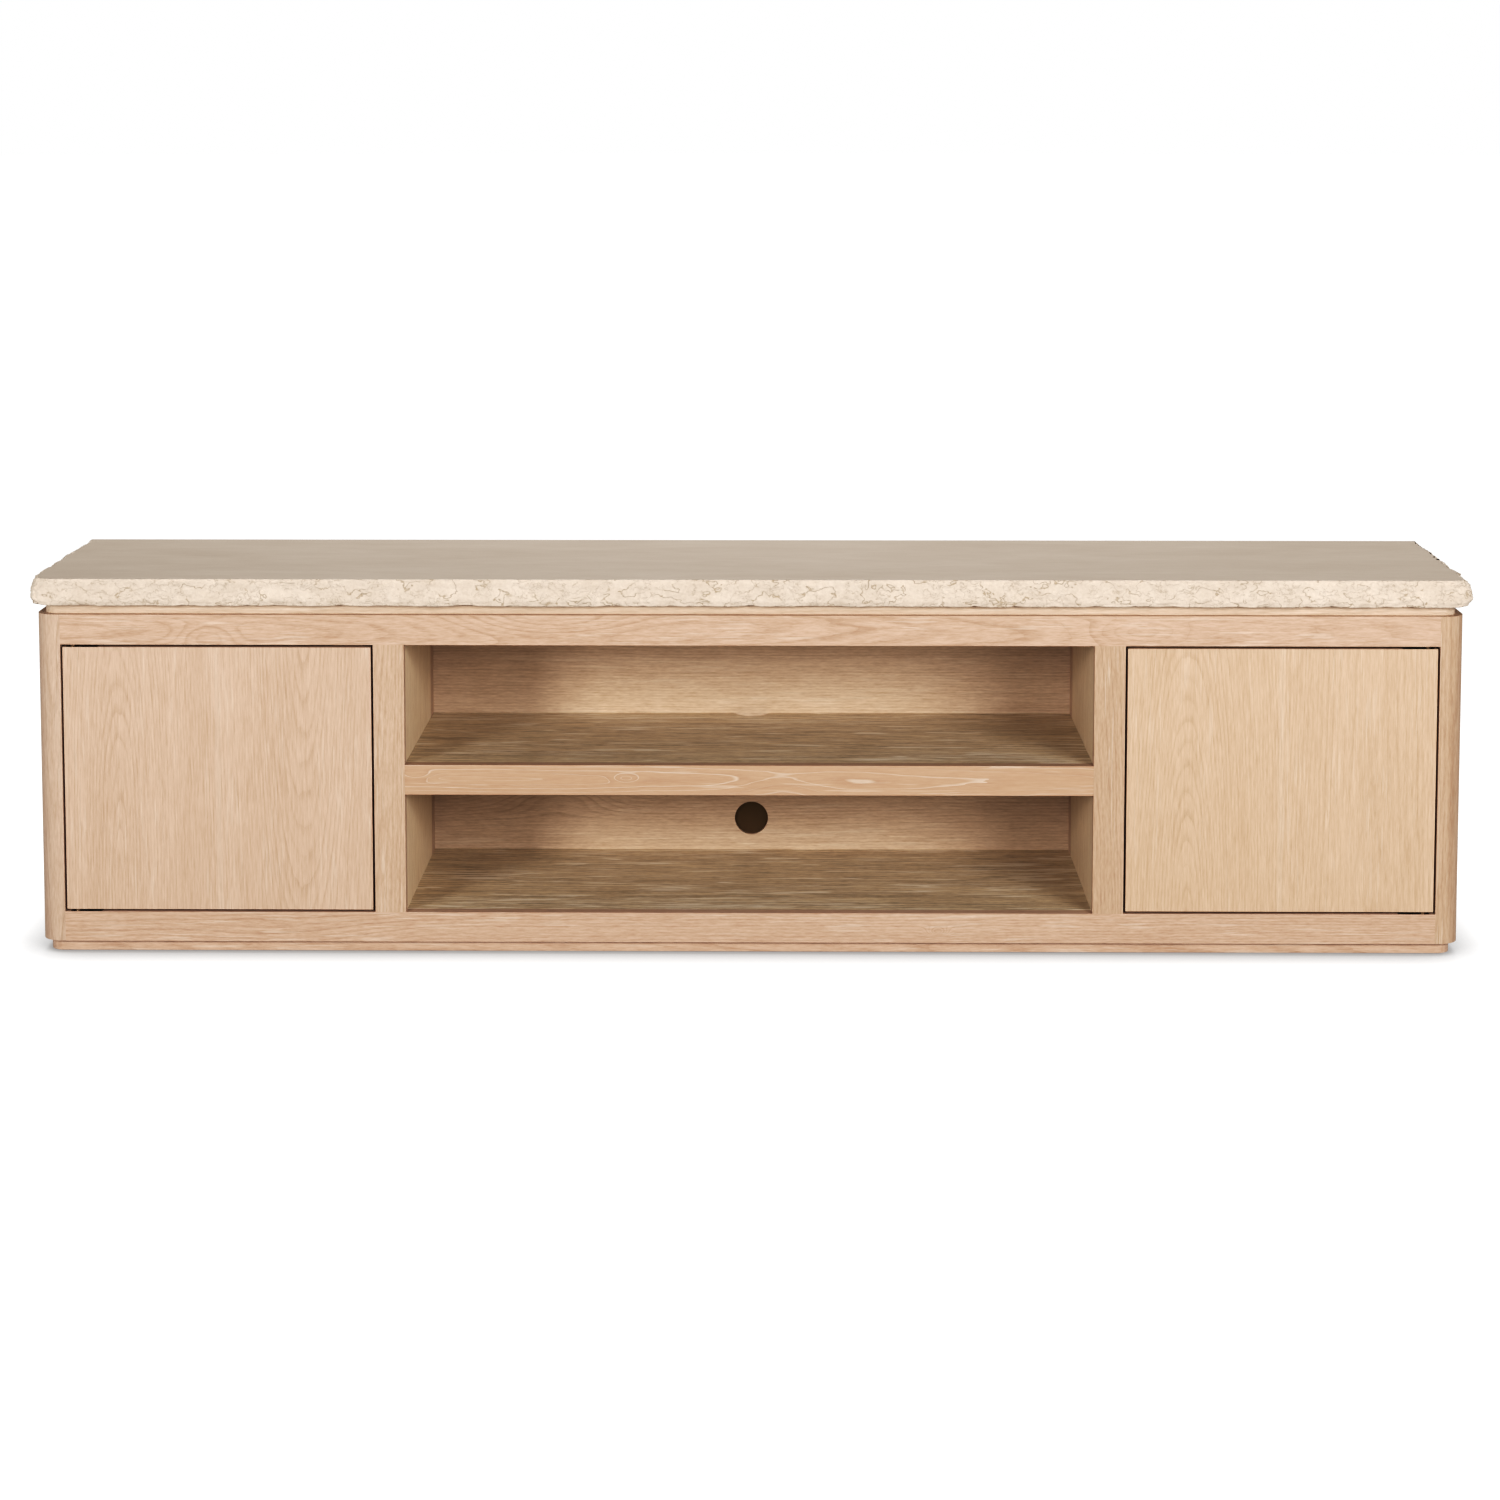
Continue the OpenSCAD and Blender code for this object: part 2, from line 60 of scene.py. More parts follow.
class Shader:
    """Builds one material. Each method adds a node and returns the socket that the next node reads."""

    def __init__(self, name):
        self.material = bpy.data.materials.new(name)
        self.material.use_nodes = True
        self.tree = self.material.node_tree
        self.surface = self.tree.nodes["Principled BSDF"]
        self.place = self.add("ShaderNodeTexCoord").outputs["Object"]

    def add(self, kind, *inputs, **settings):
        node = self.tree.nodes.new(kind)
        for key, value in settings.items():
            setattr(node, key, value)
        for socket, value in zip(node.inputs, inputs):
            self.feed(socket, value)
        return node

    def feed(self, socket, value):
        if isinstance(value, bpy.types.NodeSocket):
            self.tree.links.new(value, socket)
        elif value is not None:
            socket.default_value = value

    def math(self, operation, *inputs, clamp=False):
        return self.add("ShaderNodeMath", *inputs, operation=operation, use_clamp=clamp).outputs[0]

    def vector(self, x, y, z):
        return self.add("ShaderNodeCombineXYZ", x, y, z).outputs[0]

    def scaled(self, vector, scale, shift=(0, 0, 0)):
        """vector times scale plus shift, part by part."""
        node = self.add("ShaderNodeVectorMath", vector, scale, shift, operation="MULTIPLY_ADD")
        return node.outputs[0]

    def noise(self, vector, scale=1.0, detail=2.0, roughness=0.5, distortion=0.0):
        """Fractal noise from 0 to 1, centred on 0.5."""
        node = self.add("ShaderNodeTexNoise")
        for name, value in (("Vector", vector), ("Scale", scale), ("Detail", detail),
                            ("Roughness", roughness), ("Distortion", distortion)):
            self.feed(node.inputs[name], value)
        return node.outputs[0]

    def drift(self, vector, scale, detail=1.0):
        """Three noises at once, as a vector centred on 0.5."""
        node = self.add("ShaderNodeTexNoise")
        for name, value in (("Vector", vector), ("Scale", scale), ("Detail", detail)):
            self.feed(node.inputs[name], value)
        return node.outputs[1]

    def remap(self, value, low, high, to_low=0.0, to_high=1.0, smooth=True):
        kind = "SMOOTHSTEP" if smooth else "LINEAR"
        node = self.add("ShaderNodeMapRange", value, low, high, to_low, to_high, interpolation_type=kind)
        return node.outputs[0]

    def mix(self, factor, a, b, blend="MIX"):
        node = self.add("ShaderNodeMix", data_type="RGBA", blend_type=blend)
        self.feed(node.inputs[0], factor)
        self.feed(node.inputs[6], a if isinstance(a, bpy.types.NodeSocket) else (*a, 1.0))
        self.feed(node.inputs[7], b if isinstance(b, bpy.types.NodeSocket) else (*b, 1.0))
        return node.outputs[2]

    def ramp(self, value, stops):
        """A grey ramp through (position, level) stops."""
        node = self.add("ShaderNodeValToRGB", value)
        band = node.color_ramp.elements
        while len(band) < len(stops):
            band.new(0.5)
        for element, (position, level) in zip(band, stops):
            element.position = position
            element.color = (level, level, level, 1.0)
        return node.outputs[0]

    def finish(self, color=None, roughness=None, height=None, depth=0.0002, **fixed):
        """Links the maps to the surface and sets its uniform values by name."""
        self.feed(self.surface.inputs["Base Color"], color)
        self.feed(self.surface.inputs["Roughness"], roughness)
        if height is not None:
            bump = self.add("ShaderNodeBump")
            bump.inputs["Strength"].default_value = 1.0
            bump.inputs["Distance"].default_value = depth
            self.feed(bump.inputs["Height"], height)
            self.feed(self.surface.inputs["Normal"], bump.outputs[0])
        for name, value in fixed.items():
            self.surface.inputs[name.replace("_", " ")].default_value = value
        return self.material


# ---- wood ----

AXES = "XYZ"
# Light and dark tones of each board's oak, from the outside in. Some of these tones carry painted light or
# shade, as noted above them.
FRAME_TONE = ((0.605, 0.450, 0.344), (0.445, 0.305, 0.216))
# Painted light: the left post is painted lighter than the frame, for the stronger light on the left.
LEFT_POST_PAINTED_LIGHT_TONE = ((0.615, 0.470, 0.372), (0.455, 0.320, 0.236))
# Painted shade: the right post and the right stile are painted darker, for the weaker light on the right.
RIGHT_POST_PAINTED_SHADE_TONE = ((0.560, 0.408, 0.300), (0.412, 0.276, 0.190))
RIGHT_STILE_PAINTED_SHADE_TONE = ((0.565, 0.415, 0.308), (0.415, 0.280, 0.195))
# Painted light: the neck strip is painted paler, to make up for the shade under the stone's overhang.
NECK_PAINTED_LIGHT_TONE = ((0.640, 0.515, 0.410), (0.500, 0.380, 0.285))
RAIL_TONE = ((0.620, 0.452, 0.350), (0.450, 0.298, 0.212))
SHELF_EDGE_TONE = ((0.550, 0.384, 0.276), (0.440, 0.279, 0.188))
LEFT_DOOR_TONE = ((0.640, 0.480, 0.374), (0.485, 0.340, 0.248))
RIGHT_DOOR_TONE = ((0.645, 0.482, 0.356), (0.490, 0.342, 0.236))
# Painted light: the bay's walls, the inside boards and the bay floors are painted paler than the front
# boards, to make up for the shade inside the bay; the left wall is painted lighter than the right one, as
# more light falls on it.
LEFT_WALL_PAINTED_LIGHT_TONE = ((0.850, 0.718, 0.550), (0.640, 0.500, 0.360))
RIGHT_WALL_PAINTED_LIGHT_TONE = ((0.760, 0.635, 0.484), (0.560, 0.432, 0.310))
INSIDE_PAINTED_LIGHT_TONE = ((0.700, 0.556, 0.432), (0.490, 0.356, 0.250))
FLOOR_PAINTED_LIGHT_TONE = ((0.800, 0.680, 0.500), (0.415, 0.322, 0.212))
LIME = (0.94, 0.87, 0.76)
RING_PROFILE = ((0.0, 1.0), (0.14, 0.75), (0.38, 0.14), (0.78, 0.0), (0.94, 0.30), (1.0, 0.80))
# Streaks along the grain: how many to the metre across it and along it, and how strong.
FINE_GRAIN = ((750, 55, 1.1), (330, 18, 1.15), (140, 6.0, 0.50), (28, 1.4, 0.45))
RAIL_GRAIN = ((750, 85, 1.2), (340, 34, 1.2), (140, 11.0, 0.45), (30, 2.0, 0.40))
EDGE_GRAIN = ((750, 60, 0.7), (340, 22, 0.65), (140, 8.0, 0.3), (30, 2.0, 0.5))
FLOOR_GRAIN = ((480, 75, 1.4), (170, 18.0, 1.25), (60, 8.0, 0.7), (14, 1.5, 0.5))
# Marks in the wood: how many to the metre across the grain, along it and through the board.
PORES = (1500, 55, 1500)
LIMED_PATCHES = (40, 2.0, 40)
WIDE_LIMED_PATCHES = (16, 2.0, 16)
THIN_LINES = (330, 11, 330)
DASHES = (45, 9, 45)
PALE_LINES = (26, 1.6, 26)
CUT_LINES = (34, 2.0, 34)
CUT_SHADE = 0.45
# How far along the grain the second leaf of a door is moved, so that its streaks differ from the first's.
LEAF_SLIP = 3.7
PORE_DEPTH = 0.00012


def board_sockets(shader, along, across, seed):
    """The place on a board as three sockets: across the grain, along it and through the board."""
    split = shader.add("ShaderNodeSeparateXYZ", shader.place)
    through = (set(AXES) - {along, across}).pop()
    across, along, through = (split.outputs[AXES.index(a)] for a in (across, along, through))
    place = shader.vector(across, along, through)
    shift = (1.37 * seed, 2.11 * seed, 0.73 * seed)
    return across, along, through, shader.scaled(place, (1, 1, 1), shift)


def ring_field(shader, across, along, through, place, leaves, seam, rise_middle, ring, knots):
    """Distance from the heart of the log in growth rings.

    Each leaf is (heart's place across, its depth, its rise).
    """
    bend = shader.drift(shader.scaled(place, (5.0, 1.3, 5.0)), 1.0)
    bend = shader.add("ShaderNodeSeparateXYZ", shader.scaled(bend, (0.022,) * 3, (-0.011,) * 3))
    jitter = shader.noise(shader.scaled(place, (60, 9, 60)), detail=2)
    across = shader.math("ADD", across, bend.outputs[0])
    side = None if seam is None else shader.math("GREATER_THAN", across, seam)

    def leaf_value(i):
        if side is None:
            return leaves[0][i]
        return shader.math("MULTIPLY_ADD", side, leaves[1][i] - leaves[0][i], leaves[0][i])

    sideways = shader.math("SUBTRACT", across, leaf_value(0))
    reach = shader.math("SUBTRACT", along, rise_middle)
    depth = shader.math("MULTIPLY_ADD", reach, leaf_value(2), leaf_value(1))
    depth = shader.math("ADD", shader.math("ADD", depth, through), bend.outputs[2])
    squares = shader.math("MULTIPLY_ADD", depth, depth, shader.math("POWER", sideways, 2.0))
    rings = shader.math("DIVIDE", shader.math("SQRT", squares), ring)
    rings = shader.math("MULTIPLY_ADD", jitter, 0.9, rings)
    for knot_across, knot_along, half_across, half_along, strength in knots:
        u = shader.math("DIVIDE", shader.math("SUBTRACT", across, knot_across), half_across)
        v = shader.math("DIVIDE", shader.math("SUBTRACT", along, knot_along), half_along)
        away = shader.math("MULTIPLY_ADD", u, u, shader.math("POWER", v, 2.0))
        lump = shader.math("EXPONENT", shader.math("MULTIPLY", away, -1.0))
        rings = shader.math("MULTIPLY_ADD", lump, strength, rings)
    return rings, side


def open_grain(s, place, color, white, dark, groove):
    """Long broken lines in a brushed board: pale where lime fills the grain, dark where it is cut."""
    dashes = s.noise(s.scaled(place, DASHES, (6.0, 1.0, 4.0)), detail=2)
    pale = s.noise(s.scaled(place, PALE_LINES, (2.0, 9.0, 7.0)), detail=3, roughness=0.6)
    pale = s.remap(s.math("ABSOLUTE", s.math("SUBTRACT", pale, 0.5)), 0.006, 0.028, 0.85, 0.0)
    pale = s.math("MULTIPLY", pale, s.remap(dashes, 0.47, 0.57))
    white = s.math("MAXIMUM", white, pale)
    cut = s.noise(s.scaled(place, CUT_LINES, (1.0, 6.0, 2.0)), detail=3, roughness=0.6)
    cut = s.remap(s.math("ABSOLUTE", s.math("SUBTRACT", cut, 0.5)), 0.004, 0.024, 1.0, 0.0)
    cut = s.math("MULTIPLY", s.math("MULTIPLY", cut, s.remap(dashes, 0.58, 0.44)), groove)
    color = s.mix(cut, color, tuple(CUT_SHADE * part for part in dark))
    return color, white


def oak(name, along, across, tone, seed, leaves, seam=None, rise_middle=0.3, ring=0.0042, knots=(),
        figure=0.7, grain=RAIL_GRAIN, lime=0.16, growth_lines=0.0, groove=0.0, sheen=0.35):
    """Limed oak: growth rings cut by the board's faces, streaks and pores along them, and lime in the pores.

    growth_lines draws pale lines between the years, and groove opens the grain of a brushed board.
    """
    light, dark = tone
    s = Shader(name)
    across, along, through, place = board_sockets(s, along, across, seed)
    rings, side = ring_field(s, across, along, through, place, leaves, seam, rise_middle, ring, knots)
    if side is not None:
        slip = s.vector(0.0, s.math("MULTIPLY", side, LEAF_SLIP), 0.0)
        place = s.add("ShaderNodeVectorMath", place, slip).outputs[0]
    turn = s.math("FRACT", rings)
    year = s.add("ShaderNodeTexWhiteNoise", noise_dimensions="1D")
    s.feed(year.inputs["W"], s.math("FLOOR", rings))
    strength = s.math("MULTIPLY_ADD", year.outputs[0], 0.9, 0.35)
    band = s.math("MULTIPLY", s.ramp(turn, RING_PROFILE), strength)
    shade = s.math("MULTIPLY_ADD", band, 0.62 * figure, 0.40 - 0.16 * figure)
    streaks = []
    for count_across, count_along, amount in grain:
        streak = s.noise(s.scaled(place, (count_across, count_along, count_across)), detail=2, roughness=0.6)
        shade = s.math("MULTIPLY_ADD", s.math("SUBTRACT", streak, 0.5), amount, shade)
        streaks.append(streak)
    fibre = streaks[0]
    pores = s.noise(s.scaled(place, PORES), detail=1)
    pores = s.math("MULTIPLY", s.remap(pores, 0.53, 0.66), s.math("MULTIPLY_ADD", band, 0.8, 0.2))
    shade = s.math("MULTIPLY_ADD", pores, 0.30, shade, clamp=True)
    color = s.mix(shade, light, dark)
    patches = WIDE_LIMED_PATCHES if groove else LIMED_PATCHES
    patch = s.noise(s.scaled(place, patches, (9.0, 4.0, 2.0)), detail=1)
    thin = s.noise(s.scaled(place, THIN_LINES, (5.0, 8.0, 3.0)), detail=1)
    white = s.math("MULTIPLY", s.remap(thin, 0.585, 0.635), s.remap(patch, 0.44, 0.56))
    if groove:
        color, white = open_grain(s, place, color, white, dark, groove)
    white = s.math("MAXIMUM", white, s.math("MULTIPLY", pores, 0.6))
    if growth_lines:
        line = s.ramp(turn, ((0.0, 1.0), (0.09, 0.0), (0.86, 0.0), (1.0, 1.0)))
        line = s.math("MULTIPLY", line, s.remap(year.outputs[0], 0.35, 0.75))
        white = s.math("MULTIPLY_ADD", line, growth_lines / lime, white)
    color = s.mix(s.math("MULTIPLY", white, lime, clamp=True), color, LIME)
    if seam is not None:
        edge = s.math("ABSOLUTE", s.math("SUBTRACT", across, seam))
        color = s.mix(s.remap(edge, 0.001, 0.007, 0.07, 0.0), color, LIME)
    rough = s.math("MULTIPLY_ADD", fibre, 0.25, 0.34)
    height = s.math("MULTIPLY_ADD", pores, -1.0, s.math("MULTIPLY", fibre, 0.6))
    return s.finish(color, rough, height, PORE_DEPTH, Specular_IOR_Level=sheen)


def plywood(name):
    """Raw birch plywood: thin crossed layers in its edges, long streaks on its faces."""
    s = Shader(name)
    split = s.add("ShaderNodeSeparateXYZ", s.place)
    layer = s.math("FRACT", s.math("DIVIDE", split.outputs[2], 0.0028))
    layer = s.ramp(layer, ((0.0, 0.0), (0.45, 0.1), (0.5, 1.0), (0.95, 0.9), (1.0, 0.0)))
    streak = s.noise(s.scaled(s.place, (14, 160, 600)), detail=3)
    fleck = s.noise(s.scaled(s.place, (300, 300, 900)), detail=2)
    shade = s.math("MULTIPLY_ADD", streak, 0.5, s.math("MULTIPLY", layer, 0.4))
    shade = s.math("MULTIPLY_ADD", fleck, 0.25, shade, clamp=True)
    color = s.mix(shade, (0.66, 0.50, 0.33), (0.42, 0.27, 0.15))
    return s.finish(color, s.math("MULTIPLY_ADD", fleck, 0.2, 0.55), streak, 0.0002, Specular_IOR_Level=0.3)


def beech(name):
    """Pinkish beech with the short dark flecks of its rays."""
    s = Shader(name)
    fleck = s.remap(s.noise(s.scaled(s.place, (250, 900, 900)), detail=1), 0.60, 0.68)
    streak = s.noise(s.scaled(s.place, (20, 300, 300)), detail=3)
    color = s.mix(streak, (0.66, 0.45, 0.28), (0.50, 0.31, 0.18))
    color = s.mix(s.math("MULTIPLY", fleck, 0.5), color, (0.30, 0.16, 0.08))
    return s.finish(color, s.math("MULTIPLY_ADD", streak, 0.2, 0.45), streak, 0.0001, Specular_IOR_Level=0.3)


# ---- stone, metal, plastic and rubber ----

HONED_TONES = ((0.575, 0.497, 0.422), (0.483, 0.409, 0.343))
ROCK_TONES = ((0.780, 0.678, 0.578), (0.590, 0.490, 0.396))
CRACK_TONE = (0.36, 0.265, 0.175)


def honed_stone(name):
    """A matt ground face of warm grey limestone, faintly clouded and bedded."""
    s = Shader(name)
    cloud = s.noise(s.scaled(s.place, (4, 11, 11)), detail=4, roughness=0.55, distortion=0.5)
    bed = s.noise(s.scaled(s.place, (22, 110, 110)), detail=3, roughness=0.6)
    speck = s.noise(s.place, scale=600, detail=2)
    shade = s.math("MULTIPLY_ADD", s.math("SUBTRACT", cloud, 0.5), 1.1, 0.5)
    shade = s.math("MULTIPLY_ADD", s.math("SUBTRACT", bed, 0.5), 0.6, shade)
    shade = s.math("MULTIPLY_ADD", s.math("SUBTRACT", speck, 0.5), 0.7, shade, clamp=True)
    color = s.mix(shade, *HONED_TONES)
    rough = s.math("MULTIPLY_ADD", cloud, 0.15, 0.62)
    return s.finish(color, rough, speck, 0.00006, Specular_IOR_Level=0.18)


def rock_stone(name):
    """The broken cream face of the same stone: crystalline grain, tan seams and small sharp cracks."""
    s = Shader(name)
    wander = s.scaled(s.drift(s.place, 34, 4), (0.026,) * 3, (-0.013,) * 3)
    bent = s.add("ShaderNodeVectorMath", s.place, wander).outputs[0]
    patch = s.noise(s.place, scale=30, detail=5, roughness=0.62)
    where = s.noise(s.place, scale=26, detail=2)
    grain = s.noise(s.place, scale=230, detail=4, roughness=0.75)
    crack = s.noise(s.scaled(bent, (17, 17, 30)), detail=3, roughness=0.6)
    crack = s.math("ABSOLUTE", s.math("SUBTRACT", crack, 0.5))
    hair = s.noise(s.scaled(bent, (60, 60, 105), (3, 5, 7)), detail=2, roughness=0.6)
    hair = s.math("ABSOLUTE", s.math("SUBTRACT", hair, 0.5))
    shade = s.math("MULTIPLY_ADD", s.math("SUBTRACT", patch, 0.5), 1.2, 0.33)
    shade = s.math("MULTIPLY_ADD", s.math("SUBTRACT", grain, 0.5), 1.0, shade, clamp=True)
    color = s.mix(shade, *ROCK_TONES)
    line = s.math("MULTIPLY", s.remap(crack, 0.0, 0.016, 1.0, 0.0), s.remap(where, 0.44, 0.56))
    fine = s.math("MULTIPLY", s.remap(hair, 0.0, 0.020, 1.0, 0.0), s.remap(where, 0.60, 0.44))
    marks = s.math("MULTIPLY_ADD", fine, 0.40, s.math("MULTIPLY", line, 0.66), clamp=True)
    color = s.mix(marks, color, CRACK_TONE)
    height = s.math("MULTIPLY_ADD", marks, -0.9, s.math("MULTIPLY", grain, 1.3))
    height = s.math("MULTIPLY_ADD", patch, 1.6, height)
    rough = s.math("MULTIPLY_ADD", grain, 0.2, 0.62)
    return s.finish(color, rough, height, 0.0010, Specular_IOR_Level=0.28)


def zinc(name, light, dark):
    """Plated steel: a soft, slightly uneven tone with fine rolling marks."""
    s = Shader(name)
    cloud = s.noise(s.place, scale=160, detail=3)
    line = s.noise(s.scaled(s.place, (3000, 300, 300)), detail=2)
    color = s.mix(cloud, light, dark)
    rough = s.math("MULTIPLY_ADD", line, 0.18, 0.24)
    return s.finish(color, rough, line, 0.00002, Metallic=1.0)


def moulded(name, light, dark, rough, grain=2200.0):
    """Moulded plastic or rubber with a fine tool texture and a mottled tone."""
    s = Shader(name)
    fine = s.noise(s.place, scale=grain, detail=2)
    broad = s.noise(s.place, scale=60, detail=3)
    color = s.mix(s.math("MULTIPLY_ADD", fine, 0.4, s.math("MULTIPLY", broad, 0.6)), light, dark)
    return s.finish(color, s.math("MULTIPLY_ADD", fine, 0.2, rough), fine, 0.00005, Specular_IOR_Level=0.4)


# ---- the carried-over boards ----


def clad(node, material, arris=0.8 * MM):
    """Gives a CAD node its material and eases its sharp edges, with modifiers only."""
    piece = NODES[node]
    piece.data.materials.clear()
    piece.data.materials.append(material)
    weld = piece.modifiers.new("weld", "WELD")
    weld.merge_threshold = 1e-6
    flat = piece.modifiers.new("flat", "DECIMATE")
    flat.decimate_type = "DISSOLVE"
    flat.angle_limit = 0.01
    if arris:
        bevel = piece.modifiers.new("arris", "BEVEL")
        bevel.width = arris
        bevel.segments = 2
        bevel.limit_method = "ANGLE"
        bevel.angle_limit = math.radians(35)
    piece.modifiers.new("normals", "WEIGHTED_NORMAL")


SLOTS = {row["node"]: row["material_slot"] for row in frame["record"]["subparts"]}


def centre(node):
    low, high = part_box(node)
    return (low + high) / 2


def oak_boards():
    """One material per board, so that no two boards show the same figure; the tones of some boards also
    carry painted light or shade.
    """
    left, right = centre("door_panel_left"), centre("door_panel_right")
    back = centre("back_panel_centre")
    shelf = centre("middle_shelf_lipping")
    top, bottom = centre("top_rail"), centre("bottom_rail")
    door = {"ring": 0.0048, "figure": 0.52, "grain": FINE_GRAIN, "lime": 0.10}
    left_leaves = [(left.x - 0.162, 0.240, 0.10), (left.x + 0.140, 0.262, -0.085)]
    right_leaves = [(right.x - 0.150, 0.256, 0.13), (right.x + 0.145, 0.310, 0.03)]
    clad("door_panel_left",
         oak("oak_door_left", "Z", "X", LEFT_DOOR_TONE, 1, left_leaves, seam=left.x, **door))
    clad("door_panel_right",
         oak("oak_door_right", "Z", "X", RIGHT_DOOR_TONE, 2, right_leaves, seam=right.x, **door))
    clad("top_rail", oak("oak_top_rail", "X", "Z", RAIL_TONE, 3, [(top.z - 0.004, 0.25, 0.030)],
                         rise_middle=-0.9, ring=0.0044,
                         knots=((top.z + 0.02, -0.33, 0.03, 0.13, 5.0),
                                (top.z, 0.62, 0.02, 0.07, 4.0),
                                (top.z - 0.01, -0.86, 0.02, 0.05, 3.5))))
    clad("bottom_rail", oak("oak_bottom_rail", "X", "Z", RAIL_TONE, 4, [(bottom.z - 0.05, 0.23, -0.028)],
                            rise_middle=0.4, ring=0.0046,
                            knots=((bottom.z - 0.004, 0.302, 0.009, 0.017, 5.2),
                                   (bottom.z - 0.02, -0.72, 0.03, 0.16, 3.0))))
    clad("middle_shelf_lipping", oak("oak_shelf_edge", "X", "Z", SHELF_EDGE_TONE, 5,
                                     [(shelf.z, 0.235, 0.03)], rise_middle=0.1, ring=0.0062,
                                     knots=((shelf.z + 0.001, -0.196, 0.0065, 0.021, 2.4),
                                            (shelf.z + 0.004, -0.53, 0.009, 0.03, 2.6),
                                            (shelf.z - 0.01, 0.05, 0.02, 0.06, 2.0)),
                                     figure=0.45, grain=EDGE_GRAIN, growth_lines=0.32))
    clad("back_panel_centre", oak("oak_back_centre", "X", "Z", INSIDE_PAINTED_LIGHT_TONE, 6,
                                  [(back.z - 0.085, -0.19, 0.02)], ring=0.0050, rise_middle=-0.2,
                                  knots=((0.166, -0.335, 0.032, 0.10, 7.0),), sheen=0.5))
    brushed = {"grain": FLOOR_GRAIN, "lime": 1.0, "groove": 0.38, "sheen": 0.5}
    clad("middle_shelf_top_board", oak("oak_shelf_top", "X", "Y", FLOOR_PAINTED_LIGHT_TONE, 7, [(-0.13, -0.265, 0.012)],
                                       ring=0.0135, rise_middle=0.3, **brushed))
    clad("carcass_bottom_panel", oak("oak_bay_floor", "X", "Y", FLOOR_PAINTED_LIGHT_TONE, 8, [(-0.10, -0.035, 0.010)],
                                     ring=0.0125, rise_middle=0.5, **brushed))
    plain = (
        ("middle_shelf_bottom_board", "X", "Y", INSIDE_PAINTED_LIGHT_TONE, -0.22),
        ("carcass_top_panel", "X", "Y", INSIDE_PAINTED_LIGHT_TONE, -0.48),
        ("adjustable_shelf_left", "X", "Y", INSIDE_PAINTED_LIGHT_TONE, -0.25),
        ("adjustable_shelf_right", "X", "Y", INSIDE_PAINTED_LIGHT_TONE, -0.25),
        ("back_panel_left", "X", "Z", INSIDE_PAINTED_LIGHT_TONE, -0.16),
        ("back_panel_right", "X", "Z", INSIDE_PAINTED_LIGHT_TONE, -0.16),
        ("neck_edge_front", "X", "Z", NECK_PAINTED_LIGHT_TONE, 0.28),
        ("neck_edge_back", "X", "Z", FRAME_TONE, -0.15),
        ("plinth_front", "X", "Z", RAIL_TONE, 0.29),
        ("plinth_back", "X", "Z", FRAME_TONE, -0.15),
        ("neck_edge_left", "Y", "Z", FRAME_TONE, 1.16),
        ("neck_edge_right", "Y", "Z", FRAME_TONE, -1.07),
        ("plinth_left", "Y", "Z", FRAME_TONE, 1.16),
        ("plinth_right", "Y", "Z", FRAME_TONE, -1.07),
        ("corner_post_front_left", "Z", "X", LEFT_POST_PAINTED_LIGHT_TONE, 0.26),
        ("corner_post_front_right", "Z", "X", RIGHT_POST_PAINTED_SHADE_TONE, 0.27),
        ("corner_post_back_left", "Z", "X", FRAME_TONE, -0.14),
        ("corner_post_back_right", "Z", "X", FRAME_TONE, -0.15),
        ("front_stile_left", "Z", "X", FRAME_TONE, 0.26),
        ("front_stile_right", "Z", "X", RIGHT_STILE_PAINTED_SHADE_TONE, 0.25),
        ("rear_stile_left", "Z", "Y", FRAME_TONE, 0.62),
        ("rear_stile_right", "Z", "Y", FRAME_TONE, -0.49),
        ("end_panel_left", "Z", "Y", FRAME_TONE, 1.19),
        ("end_panel_right", "Z", "Y", FRAME_TONE, -1.07),
        ("divider_left", "Z", "Y", LEFT_WALL_PAINTED_LIGHT_TONE, 0.50),
        ("divider_right", "Z", "Y", RIGHT_WALL_PAINTED_LIGHT_TONE, -0.50),
    )
    for seed, (node, along, across, tone, depth) in enumerate(plain, 11):
        middle = centre(node)
        heart = middle[AXES.index(across)] + 0.05 * math.sin(seed)
        rise = 0.05 * math.cos(2.1 * seed)
        clad(node, oak("oak_" + node, along, across, tone, seed, [(heart, depth, rise)],
                       rise_middle=middle[AXES.index(along)], ring=0.0046))


def inner_boards():
    ply = plywood("birch_plywood")
    for node in ("neck_core_panel", "middle_shelf_core", "plinth_cross_rails", "floor_bearers"):
        clad(node, ply, 0.3 * MM)
    for node in ("frame_dowels", "latch_blocks"):
        clad(node, beech("beech_" + node), 0.5 * MM)


